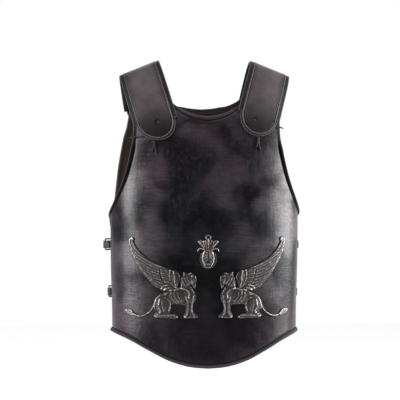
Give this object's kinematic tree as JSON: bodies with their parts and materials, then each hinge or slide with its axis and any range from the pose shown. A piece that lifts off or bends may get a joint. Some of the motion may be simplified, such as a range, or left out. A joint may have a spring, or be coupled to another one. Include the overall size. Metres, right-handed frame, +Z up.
{
  "type": "cuirass",
  "caption": "Moulded leather breastplate and backplate with broad shoulder straps, buckled side straps and cast griffin and palmette ornaments.",
  "frame": {"origin": "midway between the shoulder straps, at the level of their crests, over the middle of the torso", "axes": "+Z up along the body, -Y out of the chest, +X towards the left side of the wearer"},
  "size_m": [0.4211, 0.2659, 0.6392],
  "materials": {
    "plate_leather": "burnished, mottled",
    "strap_leather": "matt",
    "side_leather": "matt",
    "thong_leather": "matt",
    "cast_metal": "antique silver",
    "fitting_metal": "aged"
  },
  "bodies": {
    "back": {"backplate": "plate_leather", "shoulder_strap_rear_right": "strap_leather", "shoulder_strap_rear_left": "strap_leather", "chape_upper_right": "side_leather", "keeper_upper_right": "side_leather", "chape_rivet_upper_right_top": "fitting_metal", "chape_rivet_upper_right_bottom": "fitting_metal", "chape_lower_right": "side_leather", "keeper_lower_right": "side_leather", "chape_rivet_lower_right_top": "fitting_metal", "chape_rivet_lower_right_bottom": "fitting_metal", "chape_upper_left": "side_leather", "keeper_upper_left": "side_leather", "chape_rivet_upper_left_top": "fitting_metal", "chape_rivet_upper_left_bottom": "fitting_metal", "chape_lower_left": "side_leather", "keeper_lower_left": "side_leather", "chape_rivet_lower_left_top": "fitting_metal", "chape_rivet_lower_left_bottom": "fitting_metal", "strap_rivet_right_inner": "fitting_metal", "strap_rivet_right_outer": "fitting_metal", "strap_rivet_left_inner": "fitting_metal", "strap_rivet_left_outer": "fitting_metal"},
    "front": {"breastplate": "plate_leather", "shoulder_strap_front_right": "strap_leather", "shoulder_strap_front_left": "strap_leather", "griffin_right": "cast_metal", "griffin_left": "cast_metal", "palmette": "cast_metal", "griffin_washer_right_1": "fitting_metal", "griffin_washer_right_2": "fitting_metal", "griffin_washer_right_3": "fitting_metal", "griffin_washer_left_1": "fitting_metal", "griffin_washer_left_2": "fitting_metal", "griffin_washer_left_3": "fitting_metal", "palmette_washer": "fitting_metal", "front_tie_right": "thong_leather", "front_tie_left": "thong_leather", "side_thong_right": "thong_leather", "side_thong_left": "thong_leather", "billet_upper_right": "side_leather", "billet_rivet_upper_right_top": "fitting_metal", "billet_rivet_upper_right_bottom": "fitting_metal", "billet_lower_right": "side_leather", "billet_rivet_lower_right_top": "fitting_metal", "billet_rivet_lower_right_bottom": "fitting_metal", "billet_upper_left": "side_leather", "billet_rivet_upper_left_top": "fitting_metal", "billet_rivet_upper_left_bottom": "fitting_metal", "billet_lower_left": "side_leather", "billet_rivet_lower_left_top": "fitting_metal", "billet_rivet_lower_left_bottom": "fitting_metal"},
    "frame_upper_right": {"buckle_frame_upper_right": "fitting_metal"},
    "prong_upper_right": {"buckle_prong_upper_right": "fitting_metal"},
    "frame_lower_right": {"buckle_frame_lower_right": "fitting_metal"},
    "prong_lower_right": {"buckle_prong_lower_right": "fitting_metal"},
    "frame_upper_left": {"buckle_frame_upper_left": "fitting_metal"},
    "prong_upper_left": {"buckle_prong_upper_left": "fitting_metal"},
    "frame_lower_left": {"buckle_frame_lower_left": "fitting_metal"},
    "prong_lower_left": {"buckle_prong_lower_left": "fitting_metal"}
  },
  "joints": [
    {"name": "front_swing", "type": "hinge", "parent": "back", "child": "front", "pos_m": [0, 0, 0.0082], "axis": [-1, 0, 0], "range_deg": [0, 30], "deforming": ["billet_upper_right", "billet_lower_right", "billet_upper_left", "billet_lower_left"]},
    {"name": "frame_upper_right_lift", "type": "hinge", "parent": "back", "child": "frame_upper_right", "pos_m": [-0.19116, 0.06257, -0.38284], "axis": [0.0251, -0.0117, -0.9996], "range_deg": [0, 25]},
    {"name": "prong_upper_right_lift", "type": "hinge", "parent": "back", "child": "prong_upper_right", "pos_m": [-0.19116, 0.06257, -0.38284], "axis": [0.0251, -0.0117, -0.9996], "range_deg": [0, 80]},
    {"name": "frame_lower_right_lift", "type": "hinge", "parent": "back", "child": "frame_lower_right", "pos_m": [-0.18443, 0.06046, -0.48387], "axis": [0.0218, -0.0088, -0.9997], "range_deg": [0, 25]},
    {"name": "prong_lower_right_lift", "type": "hinge", "parent": "back", "child": "prong_lower_right", "pos_m": [-0.18443, 0.06046, -0.48387], "axis": [0.0218, -0.0088, -0.9997], "range_deg": [0, 80]},
    {"name": "frame_upper_left_lift", "type": "hinge", "parent": "back", "child": "frame_upper_left", "pos_m": [0.18725, 0.06047, -0.38287], "axis": [0.0223, 0.008, 0.9997], "range_deg": [0, 25]},
    {"name": "prong_upper_left_lift", "type": "hinge", "parent": "back", "child": "prong_upper_left", "pos_m": [0.18725, 0.06047, -0.38287], "axis": [0.0223, 0.008, 0.9997], "range_deg": [0, 80]},
    {"name": "frame_lower_left_lift", "type": "hinge", "parent": "back", "child": "frame_lower_left", "pos_m": [0.18309, 0.05935, -0.48386], "axis": [0.023, 0.0083, 0.9997], "range_deg": [0, 25]},
    {"name": "prong_lower_left_lift", "type": "hinge", "parent": "back", "child": "prong_lower_left", "pos_m": [0.18309, 0.05935, -0.48386], "axis": [0.023, 0.0083, 0.9997], "range_deg": [0, 80]}
  ],
  "couplings": [
    {"joint": "frame_upper_right_lift", "follows": "front_swing", "ratio": 0.83333},
    {"joint": "prong_upper_right_lift", "follows": "front_swing", "ratio": 2.6667},
    {"joint": "frame_lower_right_lift", "follows": "front_swing", "ratio": 0.83333},
    {"joint": "prong_lower_right_lift", "follows": "front_swing", "ratio": 2.6667},
    {"joint": "frame_upper_left_lift", "follows": "front_swing", "ratio": 0.83333},
    {"joint": "prong_upper_left_lift", "follows": "front_swing", "ratio": 2.6667},
    {"joint": "frame_lower_left_lift", "follows": "front_swing", "ratio": 0.83333},
    {"joint": "prong_lower_left_lift", "follows": "front_swing", "ratio": 2.6667}
  ]
}
